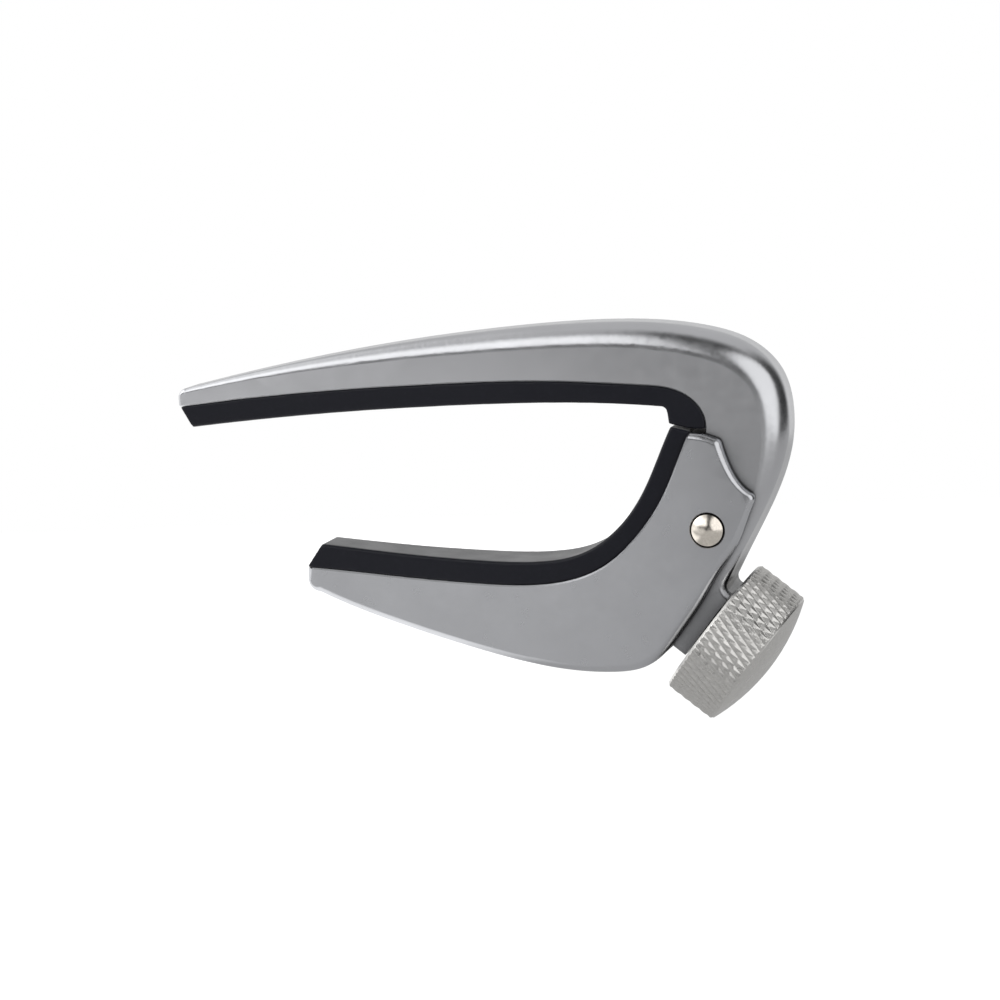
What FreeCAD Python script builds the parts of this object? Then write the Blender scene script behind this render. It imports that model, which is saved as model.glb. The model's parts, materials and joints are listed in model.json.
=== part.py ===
import FreeCAD, Part
import math
import os

os.makedirs("parts", exist_ok=True)
V = FreeCAD.Vector

# Guitar capo with a thumbscrew, in millimetres, +Z away from the fretboard.
# X runs across the neck towards the hinge, and Y along the neck.
# Every outline is drawn about the hinge line (X = 0, Z = 0). save() then moves it,
# so that the row's origin is the middle of the string pad's underside.
HINGE_X, HINGE_Z = 35.5, -16.87

# ---- driving dimensions ------------------------------------------------------
FRAME_HALF = 4.9                  # half width of the frame at the hinge
ARM_TIP_HALF = 3.5                # half width at the tip of each arm
SIDE_PLAY = 0.10                  # running gap between the frame and each cheek
CHEEK = 1.2                       # thickness of each cheek
JAW_HALF = FRAME_HALF + SIDE_PLAY + CHEEK
BLANK_HALF = 8.0                  # half width of a blank before it is trimmed
PAD_INSET = 0.15                  # the pads stay this much inside the metal's sides
PAD_EDGE = 0.35                   # rounding of a pad's working edges
METAL_EDGE = 0.20                 # broken edge where metal meets pad
RIB_HALF, RIB_DEPTH = 1.5, 0.8    # rib that keys each pad into its arm
RIB_OVERLAP = 0.6                 # how far the rib starts inside the pad

SCREW_TILT = 40.0                 # the screw points this far below +X, degrees
SCREW_ARM = 10.72                 # hinge line to screw axis
SCREW_R, THREAD_GAP = 2.5, 0.04   # M5 x 0.8, drawn as plain cylinders
INSERT_R, INSERT_START = 3.4, 2.9
THRUST_WALL = -2.0                # distance along the screw of the jaw's thrust wall
WALL_LOW = -15.55
PLATE_R, PLATE_T = 3.2, 1.0
TIP_R, TIP_GAP = 2.0, 0.05
BALL_R, BALL_GAP = 1.2, 0.04
BALL_AT = THRUST_WALL + TIP_GAP + TIP_R
NECK_R, NECK_GAP = 0.8, 0.2
NECK_AT = BALL_AT + 0.7
SHANK_START = NECK_AT + 0.3
KNOB_FACE, KNOB_RIM, KNOB_DOME = 7.45, 7.1, 1.9
KNOB_R, KNOB_SOCKET = 9.7, 5.0
KNOB_CHAMFER, KNOB_BEVEL = 0.4, 0.25

BOSS_TOP, BOSS_LOW, BOSS_END = -5.0, -15.1, 7.1
BOSS_HEEL, BOSS_NOSE = 3.3, 1.9   # where the boss's slanted inner end starts and stops
BOSS_NOTCH_R, BOSS_LOW_R = 1.0, 0.9

PIN_R, PIN_DOME, PIN_GAP = 2.0, 0.7, 0.04
PIN_RING, PIN_RING_DEPTH = 0.22, 0.7    # relief round the pin's end in each cheek
PIN_RING_EDGE = 0.08              # broken edge of that relief
BUSH_R, FLANGE_R, FLANGE_T = 2.8, 3.8, 0.5
LUG_R, SLOT_R = 4.8, 5.3          # frame's lug, and the jaw's slot round it
EAR_R = 1.0                       # rounding of each cheek's upper corner
LUG_FRONT, SLOT_FRONT = 10.0, 18.0
POCKET_R, POCKET_HALF = 4.2, 1.9  # spring pocket in the lug
WIRE_R, ELBOW_R, COIL_R, COIL_GAP = 0.35, 0.37, 3.3, 0.12
SPRING_LEG, WIRE_CLEAR = 7.5, 0.05
COIL_TURNS = 3.574                # ends where the jaw's front wall is square to the coil

# ---- directions and points -----------------------------------------------------
tilt = math.radians(SCREW_TILT)
AXIS = V(math.cos(tilt), 0, -math.sin(tilt))      # along the screw, towards the knob
ACROSS = V(math.sin(tilt), 0, math.cos(tilt))     # across the screw, towards the hinge
WALL_UP = V(0.449, 0, 0.893)                      # along the jaw's front wall
WALL_IN = V(0.893, 0, -0.449)                     # square to it, towards the frame


def at(x, z):
    return V(x, 0, z)


def by_screw(along, across):
    return AXIS * along + ACROSS * across


def by_wall(off, up):
    """Point at a distance in front of the hinge and a distance up the front wall."""
    return WALL_IN * -off + WALL_UP * up


# ---- outlines ----------------------------------------------------------------
def spline(points, start_heading=None, end_heading=None):
    """Curve through points, with the directions at both ends given or left free."""
    curve = Part.BSplineCurve()
    if start_heading is None:
        curve.interpolate(points)
    else:
        curve.interpolate(Points=points, InitialTangent=start_heading, FinalTangent=end_heading)
    return curve


def stretch(curve, a, b):
    """The part of a curve between two points that lie on it."""
    return curve.toShape(*sorted((curve.parameter(a), curve.parameter(b))))


def line(a, b):
    return Part.makeLine(a, b)


def arc(a, middle, b):
    return Part.Arc(a, middle, b).toShape()


def heading(degrees):
    return at(math.cos(math.radians(degrees)), math.sin(math.radians(degrees)))


def rounded(a, b, c, r):
    """Start, middle and end of the arc that rounds the corner a-b-c."""
    u, w = (a - b).normalize(), (c - b).normalize()
    half = math.acos(u.dot(w)) / 2
    towards = (u + w).normalize()
    reach = r / math.tan(half)
    return b + u * reach, b + towards * (r / math.sin(half) - r), b + w * reach


# ---- solids ------------------------------------------------------------------
def plate(edges, half):
    """A side-view outline, extruded the same distance each way in Y."""
    face = Part.Face(Part.Wire(Part.__sortEdges__(edges)))
    face.translate(V(0, -half, 0))
    return face.extrude(V(0, 2 * half, 0))


def polygon_plate(points, half):
    return plate([line(a, b) for a, b in zip(points, points[1:] + points[:1])], half)


def width_body(stations, inset=0.0):
    """Body between two mirrored side curves through (x, half width) stations."""
    near = spline([V(x, inset - half, -60) for x, half in stations]).toShape()
    far = spline([V(x, half - inset, -60) for x, half in stations]).toShape()
    ends = [line(V(x, inset - half, -60), V(x, half - inset, -60))
            for x, half in (stations[0], stations[-1])]
    return Part.Face(Part.Wire(Part.__sortEdges__([near, far] + ends))).extrude(V(0, 0, 120))


def follow(curve, low, high, half):
    """Strip between two copies of a curve, one below the other."""
    under, over = curve.copy(), curve.copy()
    under.translate(V(0, 0, low))
    over.translate(V(0, 0, high))
    caps = [line(under.value(u), over.value(u)) for u in (curve.FirstParameter, curve.LastParameter)]
    return plate([under.toShape(), over.toShape()] + caps, half)


def cross_rod(r, y0, y1):
    return Part.makeCylinder(r, y1 - y0, V(0, y0, 0), V(0, 1, 0))


def screw_rod(r, s0, s1):
    return Part.makeCylinder(r, s1 - s0, by_screw(s0, -SCREW_ARM), AXIS)


def screw_ball(r, s):
    return Part.makeSphere(r, by_screw(s, -SCREW_ARM))


# ---- picking and rounding edges ------------------------------------------------
def middle_of(edge):
    return edge.valueAt((edge.FirstParameter + edge.LastParameter) / 2)


def on_side(p):
    return abs(p.y) > 3.2


def on_curve(p, curve):
    return curve.toShape().distToShape(Part.Vertex(p.x, 0, p.z))[0] < 0.02


def side_edges(shape, test):
    return [e for e in shape.Edges if on_side(middle_of(e)) and test(middle_of(e))]


def by_x(p):
    return p.x


def by_z(p):
    return p.z


def round_sides(shape, rules):
    """Round the side edges in one operation. A rule is (test, radius at the low end,
    radius at the high end, what low and high are measured by)."""
    doc = FreeCAD.newDocument()
    base = doc.addObject("Part::Feature", "base")
    base.Shape = shape
    fillet = doc.addObject("Part::Fillet", "fillet")
    fillet.Base = base
    table = []
    for test, r_low, r_high, key in rules:
        for i, e in enumerate(base.Shape.Edges, 1):
            p = middle_of(e)
            if on_side(p) and test(p):
                rising = key(e.valueAt(e.FirstParameter)) < key(e.valueAt(e.LastParameter))
                if e.Orientation == "Reversed":
                    rising = not rising
                table.append((i, r_low, r_high) if rising else (i, r_high, r_low))
    fillet.Edges = table
    doc.recompute()
    result = fillet.Shape.copy()
    FreeCAD.closeDocument(doc.Name)
    return result


def save(name, shape):
    shape.translate(V(HINGE_X, 0, HINGE_Z))
    box = shape.BoundBox
    print("%-16s %d solid, valid %s, %.1f mm3, X %.2f %.2f Y %.2f %.2f Z %.2f %.2f" % (
        name, len(shape.Solids), shape.isValid(), shape.Volume,
        box.XMin, box.XMax, box.YMin, box.YMax, box.ZMin, box.ZMax))
    shape.exportStep("parts/%s.step" % name)


# ---- curves and widths that two pieces share ---------------------------------------
ARM_TIP_X = -69.5
string_seat_pts = [at(ARM_TIP_X, 18.25), at(-52.4, 19.38), at(-35.5, 19.73), at(-18.9, 19.42),
                   at(-7.6, 18.45), at(-2.5, 17.3), at(-0.35, 15.4), at(0.2, 12.0)]
string_seat = spline(string_seat_pts)
neck_seat_pts = [at(-53.75, -3.37), at(-41.1, -4.95), at(-30.4, -6.1), at(-22.3, -6.42), at(-14.35, -4.56),
                 at(-8.85, -0.1), at(-5.8, 3.9), at(-2.85, 9.8), at(-1.6, 12.4)]
neck_seat = spline(neck_seat_pts)
arm_widths = [(-70.5, ARM_TIP_HALF - 0.02), (-45, 4.08), (-20, 4.66), (0, 4.88), (14, FRAME_HALF)]
jaw_widths = [(-55, ARM_TIP_HALF), (-44, 3.8), (-30, 4.6), (-14, 5.55), (-3, 6.1), (9, JAW_HALF)]


def string_rib():
    reach = polygon_plate([at(-64, 10), at(-64, 30), at(-8, 30), at(-8, 10)], RIB_HALF)
    return follow(string_seat, -RIB_OVERLAP, RIB_DEPTH, RIB_HALF).common(reach)


def neck_rib():
    reach = polygon_plate([at(-49, -20), at(-49, 20), at(-14, 20), at(-14, -20)], RIB_HALF)
    return follow(neck_seat, -RIB_DEPTH, RIB_OVERLAP, RIB_HALF).common(reach)


# ---- frame: arm over the strings, shoulder, hinge lug and screw boss ------------------
def make_frame():
    top_pts = [at(-68.3, 20.65), at(-54.5, 23.1), at(-40.7, 24.95), at(-27.2, 26.1), at(-14.0, 26.5),
               at(-6.0, 26.1), at(0.5, 25.0), at(6.0, 22.8), at(9.5, 19.0), at(10.55, 14.0),
               at(10.0, 9.3), at(8.3, 4.7), at(5.55, -0.4), at(2.9, -4.9)]
    top = spline(top_pts)
    joints = [top_pts[i] for i in (0, 3, 5, 8, 10, 13)]
    mid_arm, root, heel, waist = joints[1:5]
    falling = top.tangent(top.parameter(top_pts[-1]))[0]
    drop = (BOSS_TOP - top_pts[-1].dot(ACROSS)) / falling.dot(ACROSS)
    boss_top, boss_low = by_screw(BOSS_END, BOSS_TOP), by_screw(BOSS_END, BOSS_LOW)
    notch = rounded(top_pts[-1], top_pts[-1] + falling * drop, boss_top, BOSS_NOTCH_R)
    nose_top, tip_top = by_screw(BOSS_NOSE, -SCREW_ARM), at(ARM_TIP_X, 19.5)
    lug_front, lug_back = by_wall(LUG_R, 0), by_screw(0, -LUG_R)
    edges = [stretch(top, a, b) for a, b in zip(joints, joints[1:])]
    edges += [
        line(string_seat_pts[0], tip_top),
        arc(tip_top, at(-69.2, 20.25), top_pts[0]),
        line(top_pts[-1], notch[0]),
        arc(*notch),
        line(notch[2], boss_top),
        line(boss_top, boss_low),
        line(boss_low, by_screw(BOSS_HEEL, BOSS_LOW)),
        line(by_screw(BOSS_HEEL, BOSS_LOW), nose_top),
        line(nose_top, lug_back),
        arc(lug_back, (lug_front + lug_back).normalize() * LUG_R, lug_front),
        line(lug_front, by_wall(LUG_R, LUG_FRONT)),
        line(by_wall(LUG_R, LUG_FRONT), string_seat_pts[-1]),
        string_seat.toShape(),
    ]
    body = plate(edges, BLANK_HALF).common(width_body(arm_widths))

    def outside(p):
        return on_curve(p, top)

    def in_notch(p):
        along, across = p.dot(AXIS), p.dot(ACROSS)
        return 4.9 < along < BOSS_END - 0.05 and BOSS_TOP - 0.1 < across < -1.9

    body = round_sides(body, [
        (lambda p: p.x < ARM_TIP_X + 0.05, 0.45, 0.45, by_x),
        (lambda p: ARM_TIP_X + 0.05 < p.x < -68.4 and p.z > 19, 0.45, 0.6, by_x),
        (lambda p: outside(p) and p.x < mid_arm.x, 0.6, 2.65, by_x),
        (lambda p: outside(p) and mid_arm.x < p.x < root.x, 2.65, 3.2, by_x),
        (lambda p: outside(p) and p.x > root.x and p.z > heel.z, 3.2, 3.6, by_x),
        (lambda p: outside(p) and waist.z < p.z < heel.z, 3.0, 3.6, by_z),
        (lambda p: outside(p) and p.z < waist.z, BOSS_NOTCH_R, 3.0, by_z),
        (in_notch, BOSS_NOTCH_R, BOSS_NOTCH_R, by_z),
    ])
    body = body.makeFillet(BOSS_LOW_R, side_edges(body, lambda p: abs(p.dot(ACROSS) - BOSS_LOW) < 0.05))

    pocket = polygon_plate([at(-9, -POCKET_R), at(0, -POCKET_R), at(POCKET_R, 0), at(3.4, 9), at(-4, 9),
                            at(-9, 0)], POCKET_HALF)
    body = body.cut(pocket.fuse(cross_rod(POCKET_R, -POCKET_HALF, POCKET_HALF)))
    body = body.cut(cross_rod(BUSH_R, -BLANK_HALF, BLANK_HALF))
    body = body.cut(cross_rod(FLANGE_R, -BLANK_HALF, FLANGE_T - FRAME_HALF))
    body = body.cut(cross_rod(FLANGE_R, FRAME_HALF - FLANGE_T, BLANK_HALF))
    body = body.cut(screw_rod(INSERT_R, -2, BOSS_END + 2)).cut(string_rib())
    return body.makeChamfer(METAL_EDGE, side_edges(body, lambda p: on_curve(p, string_seat) and p.x < -1))


# ---- pads --------------------------------------------------------------------
def pad(seat_edge, work_pts, end_pts, widths, rib):
    """A moulded pad between its seat and its working face, closed by its two ends."""
    face = spline(work_pts)
    start, stop = sorted((v.Point for v in seat_edge.Vertexes), key=by_x)
    end = [work_pts[-1]] + end_pts + [stop]
    outline = [seat_edge, face.toShape(), line(start, work_pts[0])]
    outline += [line(a, b) for a, b in zip(end, end[1:])]
    body = plate(outline, BLANK_HALF).common(width_body(widths, PAD_INSET))
    body = body.makeFillet(PAD_EDGE, side_edges(body, lambda p: on_curve(p, face)))
    return body.fuse(rib)


def make_string_pad():
    work = [at(-67.85, 15.53), at(-50, 16.55), at(-30, 16.88), at(-15, 16.5), at(-4.9, 15.6)]
    leg = [at(-4.5, 15.3), at(-4.3, 13.45), at(-1.7, 12.75)]
    seat_edge = stretch(string_seat, string_seat_pts[0] + V(PAD_INSET, 0, 0), at(0.1, 12.6))
    return pad(seat_edge, work, leg, arm_widths, string_rib())


def make_neck_pad():
    work = [at(-51.5, -0.42), at(-40.9, -1.93), at(-30.1, -3.12), at(-22.1, -3.45), at(-16.8, -2.6),
            at(-11.4, 0.85), at(-8.55, 4.4), at(-5.75, 9.8), at(-4.1, 13.1)]
    widths = [(-55, ARM_TIP_HALF), (-44, 3.8), (-30, 4.6), (-20, 5.05), (3, 5.1)]
    return pad(neck_seat.toShape(), work, [], widths, neck_rib())


# ---- jaw: arm behind the neck, with two cheeks round the frame's lug -------------------
def make_jaw():
    back_pts = [at(6.1, 3.3), at(5.25, 1.5), at(3.8, -1.7), at(1.2, -5.25), at(-1.25, -9.0),
                at(-4.1, -12.75), at(-6.6, -15.6), at(-9.2, -17.3), at(-13.5, -17.95), at(-20.7, -17.35),
                at(-31.2, -14.75), at(-41.8, -11.2), at(-50.8, -7.5), at(-52.3, -6.75)]
    back = spline(back_pts)
    nose, flank, toe = at(5.7, 4.5), back_pts[3], at(-53.75, -5.2)
    ear_centre = at(1.44, 10.57)
    crest_fall, ear_fall, nose_fall = -20.0, -78.0, -32.0    # slopes of the cheek's upper edge, degrees
    ear_end = ear_centre - heading(ear_fall - 90) * EAR_R
    ear_start = ear_centre - heading(crest_fall - 90) * EAR_R
    ear_top = ear_centre - heading((crest_fall + ear_fall) / 2 - 90) * EAR_R
    crest = spline([neck_seat_pts[-1], at(0.15, 12.12), ear_start], heading(-8.0), heading(crest_fall))
    hollow = spline([ear_end, at(3.4, 7.6), nose], heading(ear_fall), heading(nose_fall))
    body = plate([
        neck_seat.toShape(),
        crest.toShape(),
        arc(ear_start, ear_top, ear_end),
        hollow.toShape(),
        arc(nose, at(6.13, 3.98), back_pts[0]),
        stretch(back, back_pts[0], flank),
        stretch(back, flank, back_pts[-1]),
        arc(back_pts[-1], at(-53.35, -6.15), toe),
        line(toe, neck_seat_pts[0]),
    ], BLANK_HALF).common(width_body(jaw_widths))
    rim, rim_cheek, rim_nose, rim_toe = 1.0, 0.9, 0.65, 0.6
    body = round_sides(body, [
        (lambda p: on_curve(p, crest), rim_cheek, rim_cheek, by_x),
        (lambda p: ear_start.x < p.x < ear_end.x and p.z > ear_end.z, rim_cheek, rim_cheek, by_x),
        (lambda p: on_curve(p, hollow), rim_nose, rim_cheek, by_z),
        (lambda p: p.x > nose.x and p.z > back_pts[0].z, rim_nose, rim_nose, by_x),
        (lambda p: on_curve(p, back) and p.x > flank.x, rim, rim_nose, by_x),
        (lambda p: on_curve(p, back) and p.x < flank.x, rim, rim, by_x),
        (lambda p: p.x < back_pts[-1].x and p.z < -3.6, rim_toe, rim, by_x),
    ])
    body = body.makeChamfer(METAL_EDGE, side_edges(body, lambda p: on_curve(p, neck_seat)))

    wall_top = by_screw(THRUST_WALL, -math.sqrt(SLOT_R ** 2 - THRUST_WALL ** 2))
    front = by_wall(SLOT_R, 0)
    corners = [front, by_wall(SLOT_R, SLOT_FRONT), at(16, 18), at(16, -12), by_screw(8, -18.7),
               by_screw(THRUST_WALL, WALL_LOW), wall_top]
    slot = [line(a, b) for a, b in zip(corners, corners[1:])]
    slot.append(arc(wall_top, (wall_top + front).normalize() * SLOT_R, front))
    body = body.cut(plate(slot, FRAME_HALF + SIDE_PLAY))
    body = body.cut(cross_rod(PIN_R, -BLANK_HALF, BLANK_HALF))
    ring_at = JAW_HALF - PIN_RING_DEPTH
    body = body.cut(cross_rod(PIN_R + PIN_RING, -BLANK_HALF, -ring_at))
    body = body.cut(cross_rod(PIN_R + PIN_RING, ring_at, BLANK_HALF))

    def round_pin(p):
        return abs(math.hypot(p.x, p.z) - PIN_R - PIN_RING) < 0.02 and abs(p.y) > ring_at + PIN_RING_EDGE

    body = body.makeChamfer(PIN_RING_EDGE, side_edges(body, round_pin))
    body = body.cut(screw_rod(PLATE_R, THRUST_WALL - PLATE_T, THRUST_WALL + 1))
    return body.cut(neck_rib())


# ---- hinge -------------------------------------------------------------------
def make_pin():
    """Pin pressed into both cheeks, with a low dome on each end."""
    dome_r = (PIN_R ** 2 + PIN_DOME ** 2) / (2 * PIN_DOME)
    end = JAW_HALF + PIN_DOME
    pin = cross_rod(PIN_R, -end, end)
    for sign in (-1, 1):
        dome = Part.makeSphere(dome_r, V(0, sign * (end - dome_r), 0))
        shank = cross_rod(PIN_R + 1, *sorted((-sign * (end + 1), sign * JAW_HALF)))
        pin = pin.common(shank.fuse(dome))
    return pin


def make_bush(sign):
    bush = cross_rod(BUSH_R, POCKET_HALF, FRAME_HALF)
    bush = bush.fuse(cross_rod(FLANGE_R, FRAME_HALF - FLANGE_T, FRAME_HALF))
    bush = bush.cut(cross_rod(PIN_R + PIN_GAP, 0, BLANK_HALF))
    return bush if sign > 0 else bush.mirror(V(0, 0, 0), V(0, 1, 0))


def make_spring():
    """Torsion spring round the pin: one leg up the frame's pocket, one up the jaw's wall."""
    pitch = 2 * WIRE_R + COIL_GAP
    half = pitch * COIL_TURNS / 2
    coil = Part.makeLongHelix(pitch, 2 * half, COIL_R)
    coil.rotate(V(0, 0, 0), V(1, 0, 0), -90)
    coil.translate(V(0, -half, 0))
    first = coil.Edges[0]
    frame_root, wire_heading = first.valueAt(first.FirstParameter), first.tangentAt(first.FirstParameter)
    section = Part.Wire(Part.makeCircle(WIRE_R, frame_root, wire_heading))
    spring = Part.Wire(coil.Edges).makePipeShell([section], True, False, 1)

    jaw_root = by_wall(COIL_R, 0) + V(0, half, 0)
    jaw_end = by_wall(SLOT_R - WIRE_R - WIRE_CLEAR, SPRING_LEG) + V(0, half, 0)
    frame_leg = Part.makeCylinder(WIRE_R, SPRING_LEG, frame_root, V(-0.02, 0, 1))
    jaw_leg = Part.makeCylinder(WIRE_R, SPRING_LEG, jaw_root, jaw_end - jaw_root)
    elbows = [Part.makeSphere(ELBOW_R, p) for p in (frame_root, jaw_root)]
    return spring.fuse([frame_leg, jaw_leg] + elbows)


# ---- thumbscrew --------------------------------------------------------------
def make_knob():
    rim_end = KNOB_FACE + KNOB_RIM
    profile = [(KNOB_FACE, 0), (KNOB_FACE, KNOB_R - KNOB_CHAMFER), (KNOB_FACE + KNOB_CHAMFER, KNOB_R),
               (rim_end - KNOB_BEVEL, KNOB_R), (rim_end, KNOB_R - KNOB_BEVEL), (rim_end, 0)]
    pts = [by_screw(s, r - SCREW_ARM) for s, r in profile]
    rim = Part.Face(Part.makePolygon(pts + pts[:1])).revolve(by_screw(0, -SCREW_ARM), AXIS, 360)
    cap_r = (KNOB_R ** 2 + KNOB_DOME ** 2) / (2 * KNOB_DOME)
    cap = screw_ball(cap_r, rim_end + KNOB_DOME - cap_r)
    cap = cap.common(screw_rod(KNOB_R - KNOB_BEVEL, rim_end - 0.5, rim_end + KNOB_DOME + 1))
    return rim.fuse(cap).cut(screw_rod(SCREW_R, KNOB_FACE - 1, KNOB_FACE + KNOB_SOCKET))


def make_screw():
    thread = screw_rod(SCREW_R - THREAD_GAP, SHANK_START, KNOB_FACE)
    root = screw_rod(SCREW_R, KNOB_FACE, KNOB_FACE + KNOB_SOCKET)
    neck = screw_rod(NECK_R, BALL_AT, SHANK_START + 0.1)
    return thread.fuse([root, neck, screw_ball(BALL_R, BALL_AT)])


def make_insert():
    insert = screw_rod(INSERT_R, INSERT_START, BOSS_END)
    return insert.cut(screw_rod(SCREW_R, INSERT_START - 1, BOSS_END + 1))


def make_tip():
    nose = screw_ball(TIP_R, BALL_AT).common(screw_rod(TIP_R, BALL_AT - 2 * TIP_R, BALL_AT))
    tip = nose.fuse(screw_rod(TIP_R, BALL_AT, NECK_AT))
    socket = screw_ball(BALL_R + BALL_GAP, BALL_AT)
    return tip.cut(socket).cut(screw_rod(NECK_R + NECK_GAP, BALL_AT, NECK_AT + 1))


save("frame", make_frame())
save("string_pad", make_string_pad())
save("lower_jaw", make_jaw())
save("neck_pad", make_neck_pad())
save("pivot_pin", make_pin())
save("bush_front", make_bush(-1))
save("bush_rear", make_bush(1))
save("return_spring", make_spring())
save("thumb_knob", make_knob())
save("adjusting_screw", make_screw())
save("thread_insert", make_insert())
save("thrust_tip", make_tip())
save("wear_plate", screw_rod(PLATE_R, THRUST_WALL - PLATE_T, THRUST_WALL))
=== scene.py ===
import json
import math

import bpy
from mathutils import Matrix, Vector


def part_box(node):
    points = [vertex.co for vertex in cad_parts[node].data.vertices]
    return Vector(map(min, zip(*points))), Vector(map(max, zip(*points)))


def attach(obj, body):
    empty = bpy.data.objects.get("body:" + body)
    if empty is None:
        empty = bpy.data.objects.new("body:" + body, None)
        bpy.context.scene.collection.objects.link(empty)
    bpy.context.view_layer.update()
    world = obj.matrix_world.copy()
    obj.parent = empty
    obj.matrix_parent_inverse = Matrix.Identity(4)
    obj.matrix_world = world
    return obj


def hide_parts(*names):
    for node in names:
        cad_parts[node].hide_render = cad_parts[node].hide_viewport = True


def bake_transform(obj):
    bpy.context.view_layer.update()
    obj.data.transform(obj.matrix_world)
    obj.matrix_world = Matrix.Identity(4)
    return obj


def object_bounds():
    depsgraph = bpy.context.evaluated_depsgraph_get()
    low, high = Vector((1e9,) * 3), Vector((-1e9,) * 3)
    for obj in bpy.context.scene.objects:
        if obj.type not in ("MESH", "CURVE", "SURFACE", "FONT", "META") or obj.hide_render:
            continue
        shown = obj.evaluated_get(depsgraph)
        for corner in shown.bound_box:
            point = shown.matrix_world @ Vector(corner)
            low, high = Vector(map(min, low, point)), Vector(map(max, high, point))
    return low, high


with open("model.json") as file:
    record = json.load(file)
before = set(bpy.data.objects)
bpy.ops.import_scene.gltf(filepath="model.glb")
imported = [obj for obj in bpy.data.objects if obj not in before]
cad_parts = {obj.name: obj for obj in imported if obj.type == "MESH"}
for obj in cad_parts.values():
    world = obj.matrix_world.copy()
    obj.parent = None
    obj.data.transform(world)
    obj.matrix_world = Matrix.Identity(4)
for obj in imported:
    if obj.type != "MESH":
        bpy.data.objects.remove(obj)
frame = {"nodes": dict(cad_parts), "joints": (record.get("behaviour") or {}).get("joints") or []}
cad_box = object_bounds()
nodes = frame["nodes"]
MM = 0.001
TAU = 2 * math.pi

# ---- the thumbscrew's own frame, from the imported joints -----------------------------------
KNOB_JOINT_AT = 8.0              # distance along the screw of the knob joint's position, mm
joints = {j["name"]: j for j in frame["joints"]}
AXIS = Vector(joints["knob_turn"]["axis"]).normalized()
SIDE = Vector((0, 1, 0))
AWAY = SIDE.cross(AXIS)          # across the screw, away from the hinge
SCREW_ZERO = Vector(joints["knob_turn"]["pos_m"]) - AXIS * (KNOB_JOINT_AT * MM)


def on_screw(s, r, angle):
    """Point at a distance along the screw and a radius (mm), turned right-handed about it."""
    return SCREW_ZERO + (AXIS * s + (SIDE * math.cos(angle) - AWAY * math.sin(angle)) * r) * MM


# ---- meshes ---------------------------------------------------------------------------------
WELD = 2e-6                      # points closer than this are one point, m
FACE_WEIGHT = 80                 # how far large faces decide the normals on a rounded edge


def in_scene(name, data):
    obj = bpy.data.objects.new(name, data)
    bpy.context.scene.collection.objects.link(obj)
    return obj


def smooth(mesh):
    mesh.polygons.foreach_set("use_smooth", [True] * len(mesh.polygons))


def weld(obj):
    obj.modifiers.new("weld", "WELD").merge_threshold = WELD


def crisp(obj, angle):
    """Smooth shading that keeps edges sharper than the angle, weighted by face area."""
    weld(obj)
    split = obj.modifiers.new("split", "EDGE_SPLIT")
    split.split_angle = math.radians(angle)
    split.use_edge_sharp = False
    weighted = obj.modifiers.new("weighted", "WEIGHTED_NORMAL")
    weighted.weight = FACE_WEIGHT
    weighted.keep_sharp = True


def turned(name, rings, cols, material, stands_for, edge_angle):
    """A closed piece on the knob's body, from rings round the screw's axis.

    Each ring is its distance along the screw and its radius, which may be a function of that
    distance and the angle.
    """
    verts = []
    for s, radius in rings:
        for angle in (TAU * j / cols for j in range(cols)):
            verts.append(tuple(on_screw(s, radius(s, angle) if callable(radius) else radius, angle)))
    faces = []
    for first in range(0, (len(rings) - 1) * cols, cols):
        for j in range(cols):
            k = (j + 1) % cols
            faces.append((first + j, first + k, first + cols + k, first + cols + j))
    faces.append(tuple(range((len(rings) - 1) * cols, len(rings) * cols)))
    faces.append(tuple(reversed(range(cols))))
    mesh = bpy.data.meshes.new(name)
    mesh.from_pydata(verts, [], faces)
    mesh.validate()
    smooth(mesh)
    mesh.materials.append(material)
    obj = in_scene(name, mesh)
    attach(obj, "knob_body")
    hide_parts(stands_for)
    crisp(obj, edge_angle)


# ---- shader nodes -----------------------------------------------------------------------------
NOISE_RANGE = (0.3, 0.7)         # where most of a noise texture's values lie
OPEN, CLOSED_IN = 0.92, 0.38     # ambient occlusion on a clear face and in a narrow gap


def math_node(tree, kind, a, b):
    node = tree.nodes.new("ShaderNodeMath")
    node.operation = kind
    for value, socket in zip((a, b), node.inputs):
        if isinstance(value, (int, float)):
            socket.default_value = value
        else:
            tree.links.new(value, socket)
    return node.outputs[0]


def range_node(tree, value, low, high, to_low, to_high):
    node = tree.nodes.new("ShaderNodeMapRange")
    for socket, number in zip(("From Min", "From Max", "To Min", "To Max"), (low, high, to_low, to_high)):
        node.inputs[socket].default_value = number
    tree.links.new(value, node.inputs["Value"])
    return node


def scaled(color, factor):
    return [min(c * factor, 1) for c in color]


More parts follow.
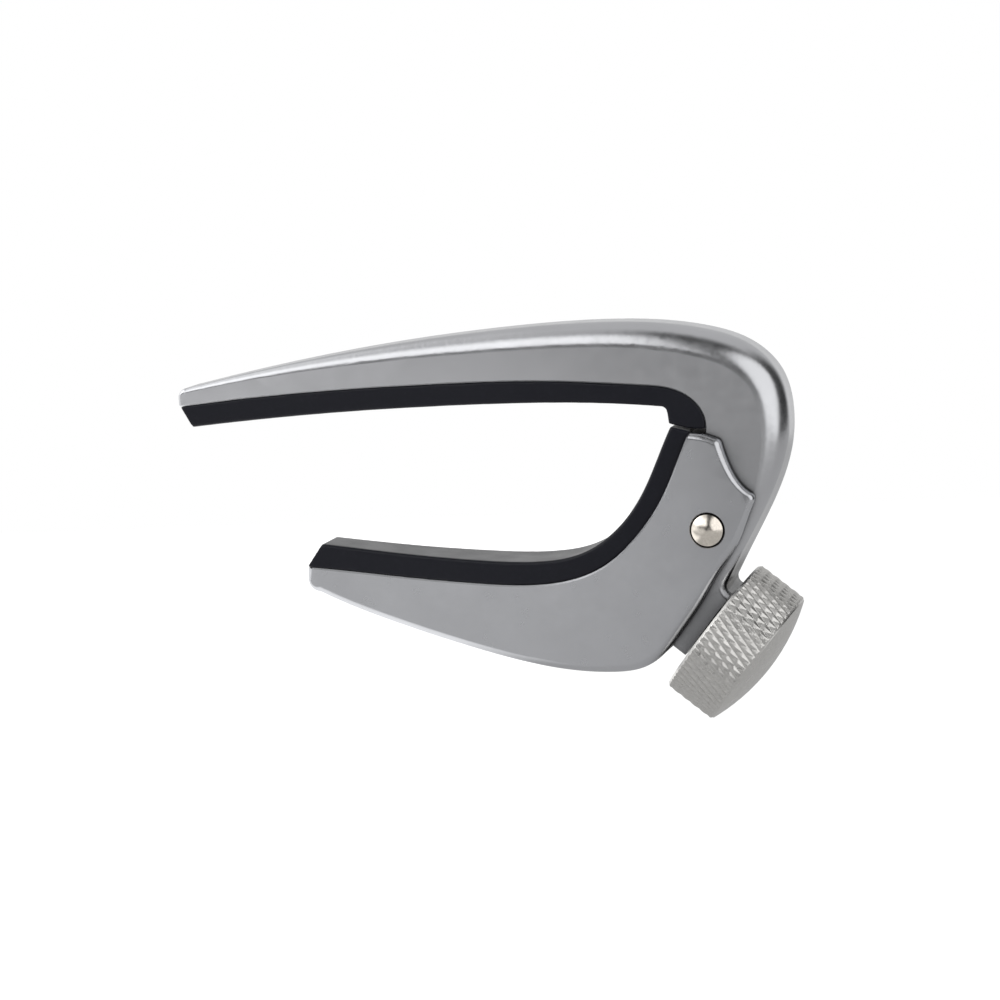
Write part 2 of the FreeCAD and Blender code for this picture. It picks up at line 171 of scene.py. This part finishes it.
class Shade:
    """A Principled material with helpers for the nodes that feed it."""

    def __init__(self, name, color, metallic, roughness):
        self.mat = bpy.data.materials.new(name)
        self.mat.use_nodes = True
        self.tree = self.mat.node_tree
        self.bsdf = self.tree.nodes["Principled BSDF"]
        self.put("Base Color", (*color, 1))
        self.put("Metallic", metallic)
        self.put("Roughness", roughness)
        self.coords = self.tree.nodes.new("ShaderNodeTexCoord").outputs["Object"]

    def put(self, socket, value):
        self.bsdf.inputs[socket].default_value = value

    def link(self, output, node_input):
        self.tree.links.new(output, node_input)

    def noise(self, scale, detail=2.0, rough=0.5):
        node = self.tree.nodes.new("ShaderNodeTexNoise")
        node.inputs["Scale"].default_value = scale
        node.inputs["Detail"].default_value = detail
        node.inputs["Roughness"].default_value = rough
        self.link(self.coords, node.inputs["Vector"])
        return node.outputs["Fac"]

    def stretched(self, noise, stretch):
        """Stretches a noise texture's pattern along the axes."""
        mapping = self.tree.nodes.new("ShaderNodeMapping")
        mapping.inputs["Scale"].default_value = stretch
        self.link(self.coords, mapping.inputs["Vector"])
        self.link(mapping.outputs["Vector"], noise.node.inputs["Vector"])
        return noise

    def remap(self, output, low, high, to_low, to_high):
        return range_node(self.tree, output, low, high, to_low, to_high).outputs["Result"]

    def tint(self, factor, dark, light):
        node = self.tree.nodes.new("ShaderNodeMix")
        node.data_type = "RGBA"
        node.inputs["A"].default_value = (*dark, 1)
        node.inputs["B"].default_value = (*light, 1)
        self.link(factor, node.inputs["Factor"])
        self.link(node.outputs["Result"], self.bsdf.inputs["Base Color"])

    def uneven(self, noise, smoothest, roughest):
        """Lets the roughness wander between two values."""
        self.link(self.remap(noise, *NOISE_RANGE, smoothest, roughest), self.bsdf.inputs["Roughness"])

    def painted_gap_shade(self, reach_mm, darkest):
        """Painted shade in narrow gaps: darkens the base colour where surfaces close in."""
        occlusion = self.tree.nodes.new("ShaderNodeAmbientOcclusion")
        occlusion.samples = 6
        occlusion.inputs["Distance"].default_value = reach_mm * MM
        # Painted shade: the colour falls to the darkest value where occlusion is strongest.
        painted_shade = self.remap(occlusion.outputs["AO"], CLOSED_IN, OPEN, darkest, 1.0)
        scale = self.tree.nodes.new("ShaderNodeVectorMath")
        scale.operation = "SCALE"
        self.link(self.bsdf.inputs["Base Color"].links[0].from_socket, scale.inputs[0])
        self.link(painted_shade, scale.inputs["Scale"])
        self.link(scale.outputs["Vector"], self.bsdf.inputs["Base Color"])

    def bump(self, height, depth_mm, strength, under=None):
        node = self.tree.nodes.new("ShaderNodeBump")
        node.inputs["Distance"].default_value = depth_mm * MM
        node.inputs["Strength"].default_value = strength
        self.link(height, node.inputs["Height"])
        if under:
            self.link(under, node.inputs["Normal"])
        self.link(node.outputs["Normal"], self.bsdf.inputs["Normal"])
        return node.outputs["Normal"]


# ---- materials ----------------------------------------------------------------------------------
def blasted_aluminium(name, color, rough):
    """Bead-blasted and anodised: even satin with faint clouding, with painted shade darkening the gaps."""
    s = Shade(name, color, 1.0, rough)
    s.tint(s.remap(s.noise(90, 3.0), *NOISE_RANGE, 0, 1), scaled(color, 0.955), scaled(color, 1.03))
    s.uneven(s.noise(420, 4.0, 0.6), rough - 0.035, rough + 0.05)
    # Painted shade: the base colour falls nearly to black where other surfaces lie within 4.5 mm.
    s.painted_gap_shade(4.5, 0.04)
    return s.mat


def silicone(name, color, rough):
    """Moulded silicone: soft satin with a fine pebbled skin and light dust."""
    s = Shade(name, color, 0.0, rough)
    s.tint(s.remap(s.noise(1500, 5.0, 0.7), 0.5, 0.85, 0, 1), color, [c * 1.3 + 0.002 for c in color])
    s.uneven(s.noise(260, 3.0), rough - 0.05, rough + 0.06)
    s.put("IOR", 1.46)
    s.put("Specular IOR Level", 0.29)
    s.put("Sheen Weight", 0.30)
    s.put("Sheen Roughness", 0.35)
    pebbles = s.bump(s.noise(5200, 3.0, 0.6), 0.02, 0.35)
    s.bump(s.noise(180, 2.0), 0.06, 0.15, pebbles)
    return s.mat


def machined(name, color, rough, grain, depth_mm=0.01, stretch=None, gap_reach=0):
    """Bare machined metal with fine tool marks; with a gap reach, painted shade in narrow gaps."""
    s = Shade(name, color, 1.0, rough)
    marks = s.noise(grain, 3.0, 0.6)
    if stretch:
        s.stretched(marks, stretch)
    s.tint(s.remap(marks, *NOISE_RANGE, 0, 1), scaled(color, 0.9), scaled(color, 1.05))
    s.uneven(s.noise(600, 3.0), rough - 0.05, rough + 0.07)
    s.bump(marks, depth_mm, 0.4)
    # Painted shade: with a gap reach, the base colour darkens where surfaces close in.
    if gap_reach:
        s.painted_gap_shade(gap_reach, 0.3)
    return s.mat


frame_metal = blasted_aluminium("satin_frame", (0.605, 0.61, 0.63), 0.22)
jaw_metal = blasted_aluminium("satin_jaw", (0.59, 0.597, 0.62), 0.23)
pad_black = silicone("silicone_black", (0.006, 0.0065, 0.0115), 0.37)
nickel = machined("polished_nickel", (0.84, 0.78, 0.70), 0.19, 3000, 0.002)
# The gap reach puts painted shade in the knurl's grooves.
knob_metal = machined("knurled_aluminium", (0.69, 0.68, 0.66), 0.30, 2600, 0.004, gap_reach=0.35)
steel = machined("machined_steel", (0.50, 0.50, 0.51), 0.32, 2600, stretch=(1, 6, 1))
spring_wire = machined("spring_wire", (0.33, 0.33, 0.34), 0.28, 3000)
brass = machined("machined_brass", (0.60, 0.45, 0.20), 0.30, 2400)
bronze = machined("sintered_bronze", (0.50, 0.34, 0.17), 0.45, 2000)

# ---- pieces that keep their CAD shape -----------------------------------------------------------
# Edges sharper than this stay crisp, degrees.
CAST_EDGE, TURNED_EDGE, KNURL_EDGE, THREAD_EDGE = 28, 40, 24, 35


def dress(name, material, edge_angle=CAST_EDGE):
    obj = nodes[name]
    if not obj.material_slots:
        obj.data.materials.append(material)
    for slot in obj.material_slots:
        slot.material = material
    crisp(obj, edge_angle)


dress("frame", frame_metal)
dress("lower_jaw", jaw_metal)
dress("pivot_pin", nickel, TURNED_EDGE)
dress("bush_front", bronze)
dress("bush_rear", bronze)
dress("thread_insert", brass)
dress("thrust_tip", brass)
dress("wear_plate", steel)

# ---- pads: the moulded shape with soft edges ----------------------------------------------------
PAD_VOXEL = 0.16 * MM
RELAX, RELAX_PASSES = 0.5, 6     # how far each pass of smoothing goes, and the number of passes


def moulded_pad(node, name, body):
    obj = in_scene(name, nodes[node].data.copy())
    obj.data.materials.clear()
    weld(obj)
    remesh = obj.modifiers.new("remesh", "REMESH")
    remesh.mode = "VOXEL"
    remesh.voxel_size = PAD_VOXEL
    remesh.adaptivity = 0
    relax = obj.modifiers.new("relax", "SMOOTH")
    relax.factor = RELAX
    relax.iterations = RELAX_PASSES
    bpy.context.view_layer.update()
    evaluated = obj.evaluated_get(bpy.context.evaluated_depsgraph_get())
    mesh = bpy.data.meshes.new_from_object(evaluated)
    obj.modifiers.clear()
    obj.data = mesh
    smooth(mesh)
    mesh.materials.clear()
    mesh.materials.append(pad_black)
    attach(obj, body)
    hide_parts(node)


moulded_pad("string_pad", "string_pad_moulded", "frame_body")
moulded_pad("neck_pad", "neck_pad_moulded", "jaw_body")

# ---- knob: turned blank with a diamond knurl on its rim, mm --------------------------------------
KNOB_FACE, RIM_END, DOME_H = 7.45, 14.55, 1.9
KNOB_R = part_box("thumb_knob")[1][1] / MM
CHAMFER, BEVEL = 0.4, 0.25       # at the rim's inner end and at its outer end
RIDGES, LEAD, GROOVE = 64, 2.5, 0.18    # ridges each way, how many pitches each runs round, depth
WEAK, CREST = 0.8, 0.12          # depth of the second hand's grooves, share of a ridge left flat
PER_RIDGE, RIM_STEPS = 10, 80
HOLE_R = 2.45                    # where the knob's inner face meets the screw


def ridge(u):
    """Triangle wave: 0 at a crest, 1 at the bottom of a groove."""
    return abs(2 * (u - math.floor(u)) - 1)


def rim_radius(s, angle):
    blank = KNOB_R - max(0, CHAMFER - (s - KNOB_FACE)) - max(0, BEVEL - (RIM_END - s))
    turn, along = RIDGES * angle / TAU, LEAD * (s - KNOB_FACE) / (RIM_END - KNOB_FACE)
    cut = max(ridge(turn - along), WEAK * ridge(turn + along))
    return min(blank, KNOB_R - GROOVE * max(0.0, cut - CREST) / (1 - CREST))


def dome_at(r):
    """Distance along the screw of the domed outer face, at a radius."""
    curve = (KNOB_R ** 2 + DOME_H ** 2) / (2 * DOME_H)
    return RIM_END + DOME_H - curve + math.sqrt(curve ** 2 - r ** 2)


inner_face = [(KNOB_FACE, r) for r in (HOLE_R, 5.0, 7.6, KNOB_R - CHAMFER - 0.05)]
rim = [(KNOB_FACE + (RIM_END - KNOB_FACE) * i / RIM_STEPS, rim_radius) for i in range(RIM_STEPS + 1)]
dome = [(dome_at(r), r) for r in
        (KNOB_R - 0.3, KNOB_R - 0.4, 9.0, 8.4, 7.6, 6.6, 5.4, 4.0, 2.6, 1.3, 0.5, 0.05)]
turned("knurled_knob", inner_face + rim + dome, RIDGES * PER_RIDGE, knob_metal,
       "thumb_knob", KNURL_EDGE)

# ---- screw: helical thread and neck, mm; its ball and its root inside the knob are not drawn ------
PITCH, SCREW_R, THREAD_DEPTH = 0.8, 2.46, 0.42
THREAD_START, SCREW_ROOT = 1.1, 7.45
LEAD_IN, LEAD_IN_STEP = 0.7, 0.35       # length of the thread's run-in, how far its radius starts short
CREST_EDGE, FLANK = 0.84, 0.7           # on a wave from 0 to 1: where a crest goes flat, its flank's height
NECK_R, SHOULDER_R = 0.78, 1.6
SCREW_STEPS, SCREW_COLS = 100, 48


def thread_radius(s, angle):
    height = 1 - ridge(s / PITCH - angle / TAU)
    run_in = min(1.0, max(0.0, (s - THREAD_START) / LEAD_IN))
    groove = THREAD_DEPTH * min(1.0, max(0.0, (CREST_EDGE - height) / FLANK))
    return SCREW_R - LEAD_IN_STEP * (1 - run_in) - groove * run_in


neck = [(0.05, NECK_R), (1.0, NECK_R), (THREAD_START, SHOULDER_R)]
thread = [(THREAD_START + (SCREW_ROOT - THREAD_START) * i / SCREW_STEPS, thread_radius)
          for i in range(SCREW_STEPS + 1)]
turned("threaded_screw", neck + thread, SCREW_COLS, steel, "adjusting_screw",
       THREAD_EDGE)

# ---- torsion spring: winds up between the frame and the jaw ---------------------------------------
spring = in_scene("torsion_spring", nodes["return_spring"].data.copy())
spring.data.materials.clear()
spring.data.materials.append(spring_wire)
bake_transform(spring)
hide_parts("return_spring")

# ---- floor: white to the camera, a soft grey glow to everything else -----------------------------
FLOOR, FLOOR_DROP = 0.25, 8 * MM        # half the floor's side, and how far below the knob it lies
FLOOR_GLOW = 0.41
floor_z = cad_box[0][2] - FLOOR_DROP
floor_mesh = bpy.data.meshes.new("floor")
floor_mesh.from_pydata([(-FLOOR, -FLOOR, floor_z), (FLOOR, -FLOOR, floor_z), (FLOOR, FLOOR, floor_z),
                        (-FLOOR, FLOOR, floor_z)], [], [(0, 1, 2, 3)])
in_scene("floor", floor_mesh)
paper = Shade("pale_floor", (0.1, 0.1, 0.1), 0.0, 0.9)
paper.put("Specular IOR Level", 0.0)
paper.put("Emission Color", (1, 1, 1, 1))
floor_xyz = paper.tree.nodes.new("ShaderNodeSeparateXYZ")
paper.link(paper.coords, floor_xyz.inputs[0])


def floor_patch(x_from, x_to, y_from, y_to, strength):
    """Extra glow: full on the x_from and y_from side, fading to none at x_to and y_to (mm)."""
    by_x = paper.remap(floor_xyz.outputs["X"], x_from * MM, x_to * MM, strength, 0.0)
    flip = y_from > y_to
    low, high = sorted((y_from, y_to))
    by_y = paper.remap(floor_xyz.outputs["Y"], low * MM, high * MM, 1.0 - flip, 0.0 + flip)
    return math_node(paper.tree, "MULTIPLY", by_x, by_y)


# The first lights the edges that face down at the tips, the second the left of the jaw's flat face.
under_tips = floor_patch(-12, 4, -25, -60, 0.8)
front_left = floor_patch(-60, 15, -85, -60, 0.17)
glow = math_node(paper.tree, "ADD", math_node(paper.tree, "ADD", under_tips, front_left), FLOOR_GLOW)
seen = paper.tree.nodes.new("ShaderNodeLightPath").outputs["Is Camera Ray"]
paper.link(math_node(paper.tree, "MAXIMUM", glow, seen), paper.bsdf.inputs["Emission Strength"])
floor_mesh.materials.append(paper.mat)

# ---- studio: soft panels painted on the world, white behind for the camera ------------------------
world = bpy.data.worlds.new("studio")
bpy.context.scene.world = world
world.use_nodes = True
sky = world.node_tree
direction = sky.nodes.new("ShaderNodeTexCoord").outputs["Generated"]
AMBIENT = 0.05                   # what the room gives from every direction


def toward(vector):
    """How far a direction points along a vector: 1 straight along it, -1 straight against it."""
    node = sky.nodes.new("ShaderNodeVectorMath")
    node.operation = "DOT_PRODUCT"
    sky.links.new(direction, node.inputs[0])
    node.inputs[1].default_value = vector
    return node.outputs["Value"]


def fade(value, low, high, strength=1.0):
    """Smooth step from 0 at low to the strength at high; low may be the larger."""
    flip = low > high
    node = range_node(sky, value, min(low, high), max(low, high), strength * flip, strength * (not flip))
    node.interpolation_type = "SMOOTHSTEP"
    return node.outputs["Result"]


def product(*factors):
    total = factors[0]
    for factor in factors[1:]:
        total = math_node(sky, "MULTIPLY", total, factor)
    return total


def add(*terms):
    total = terms[0]
    for term in terms[1:]:
        total = math_node(sky, "ADD", total, term)
    return total


across, depth, height = toward((1, 0, 0)), toward((0, 1, 0)), toward((0, 0, 1))
# A wide panel above and behind the capo lights the tops of the arm and the pads.
behind = product(fade(toward((0, 0.93, 0.37)), 0.02, 0.40, 0.58), fade(across, 0.78, 0.40))
horizon = product(fade(depth, 0.55, 0.90, 0.12), fade(height, 0.45, 0.20))
# A long softbox in front and above draws the bright band along the arm's rounded edge.
softbox = product(fade(height, 0.16, 0.36, 1.5), fade(height, 0.90, 0.62))
overhead = product(add(softbox, fade(height, 0.60, 0.85, 0.50)), fade(depth, 0.0, -0.30),
                   fade(across, -0.05, -0.19), fade(across, -0.98, -0.85))
# Two panels at the sides draw the bright patches on the shoulder and at the tips.
right_panel = fade(toward((0.722, -0.619, 0.309)), 0.72, 0.87, 1.15)
left_panel = fade(toward((-0.92, 0.0, 0.39)), 0.62, 0.92, 0.9)
# The dim front of the room, brighter to the left and below, is what the arm's flat face mirrors.
low_left = product(fade(height, -0.04, -0.24), fade(across, -0.18, -0.36, 0.28))
front = product(fade(depth, 0.1, -0.6), fade(height, 0.20, 0.0),
                add(0.05, product(fade(across, -0.14, -0.02, 0.16), fade(across, 0.2, 0.08)),
                    fade(across, -0.18, -0.42, 0.50), fade(height, 0.0, -0.3, 0.64), low_left))
room = add(AMBIENT, behind, horizon, overhead, right_panel, left_panel, front)
path = sky.nodes.new("ShaderNodeLightPath")
shown = sky.nodes.new("ShaderNodeMix")
shown.data_type = "FLOAT"
sky.links.new(path.outputs["Is Camera Ray"], shown.inputs["Factor"])
sky.links.new(room, shown.inputs["A"])
shown.inputs["B"].default_value = 1.0
sky.links.new(shown.outputs["Result"], sky.nodes["Background"].inputs["Color"])

# ---- camera: on a circle round the point it looks at ----------------------------------------------
AIM = Vector((7.3811, 0, -12.8582)) * MM
DISTANCE = 459.3307 * MM
AZIMUTH, ELEVATION, ROLL = 15.06517, 7.39968, -4.16841      # degrees; 0 azimuth looks along +Y
camera_data = bpy.data.cameras.new("camera")
camera_data.sensor_width = 36
camera_data.lens = 128.556
camera_data.clip_start = 0.01
camera = in_scene("camera", camera_data)
turn = (Matrix.Rotation(math.radians(AZIMUTH), 4, "Z") @ Matrix.Rotation(math.radians(90 - ELEVATION), 4, "X")
        @ Matrix.Rotation(math.radians(ROLL), 4, "Z"))
camera.matrix_world = Matrix.Translation(AIM) @ turn @ Matrix.Translation((0, 0, DISTANCE))
bpy.context.scene.camera = camera
bpy.context.scene.view_settings.view_transform = "Standard"
